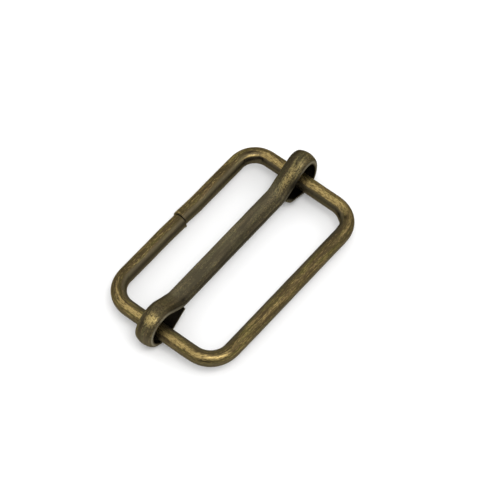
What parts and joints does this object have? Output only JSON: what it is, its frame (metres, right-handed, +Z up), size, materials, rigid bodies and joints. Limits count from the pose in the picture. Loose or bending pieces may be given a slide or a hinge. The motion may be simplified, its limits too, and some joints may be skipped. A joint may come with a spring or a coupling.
{
  "type": "strap slider",
  "caption": "Rectangular wire strap slider: a butt-jointed round-wire frame with a stamped cross bar whose rolled ends slide along the short sides.",
  "frame": {"origin": "under the centre of the rectangular frame, on the surface that the rolled ends of the bar rest on", "axes": "+X along the frame's long sides and the bar, +Y along the short sides towards the side that holds the wire's butt joint, +Z up, square to the frame, the side on which the bar lies"},
  "size_m": [0.0524, 0.0294, 0.0093],
  "materials": {
    "frame_antique_brass": "antiqued plating: dark olive-brown patina, rubbed back to brass along the crown of the wire",
    "bar_antique_brass": "antiqued plating: dark grey-brown patina with fine lengthwise scratches, brassy on the rolled ends"
  },
  "bodies": {
    "frame": {"wire_frame": "frame_antique_brass"},
    "bar": {"slide_bar": "bar_antique_brass"}
  },
  "joints": [
    {"name": "bar_slide", "type": "slide", "parent": "frame", "child": "bar", "axis": [0, 1, 0], "range_m": [-0.0097, 0.00735]}
  ]
}
